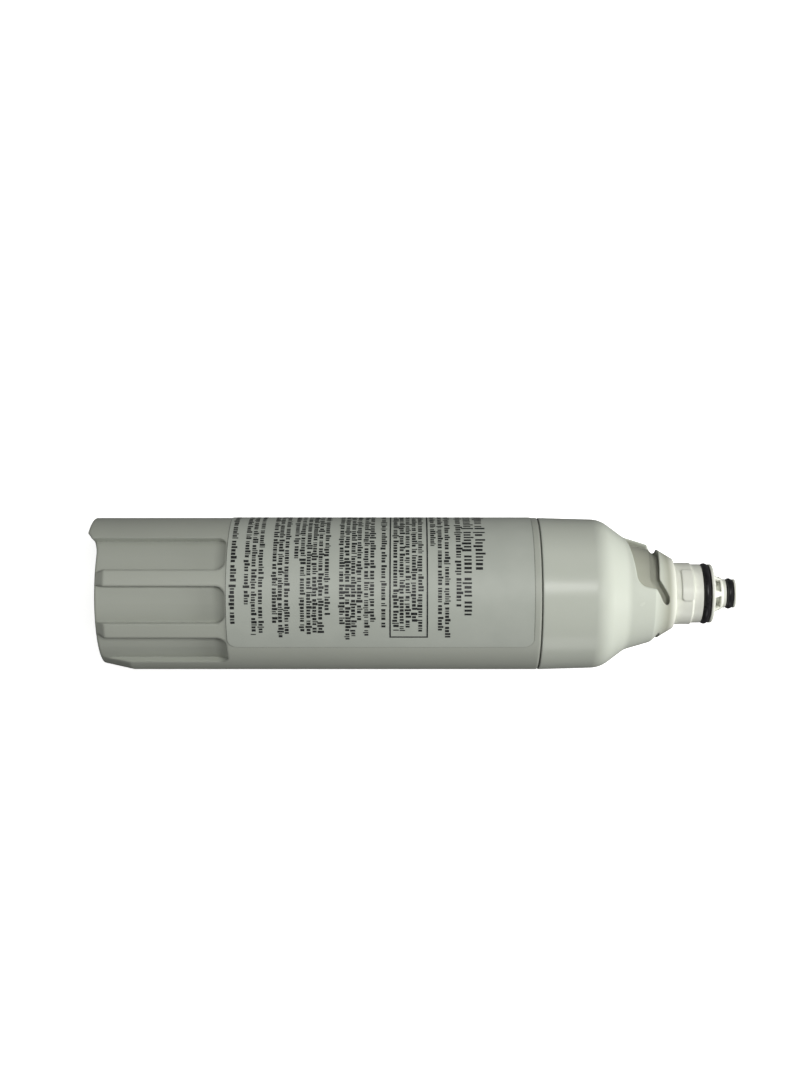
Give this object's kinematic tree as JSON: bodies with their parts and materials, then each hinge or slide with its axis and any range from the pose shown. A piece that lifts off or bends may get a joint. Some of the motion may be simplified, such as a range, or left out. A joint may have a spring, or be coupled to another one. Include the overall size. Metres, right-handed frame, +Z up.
{
  "type": "fridge water filter cartridge",
  "caption": "White quarter-turn fridge water filter cartridge: fluted grip, wrapped label, domed head with bayonet tracks, and a ringed neck and nozzle.",
  "frame": {"origin": "on the surface the cartridge lies on, under its middle", "axes": "+X along the cartridge's axis from the grip to the neck, +Z up, towards the printed front"},
  "size_m": [0.1792, 0.0426, 0.0427],
  "materials": {
    "body_plastic": "satin",
    "head_plastic": "gloss",
    "label_sheet": "satin",
    "seal_rubber": "satin",
    "cap_plastic": "matte",
    "carbon": "matte",
    "felt": "matte"
  },
  "bodies": {
    "root": {"housing": "body_plastic", "head_cap": "head_plastic", "wrap_label": "label_sheet", "neck_o_ring": "seal_rubber", "nozzle_o_ring": "seal_rubber", "spigot_o_ring": "seal_rubber", "lower_end_cap": "cap_plastic", "upper_end_cap": "cap_plastic", "carbon_block": "carbon", "prefilter_wrap": "felt"}
  },
  "joints": []
}
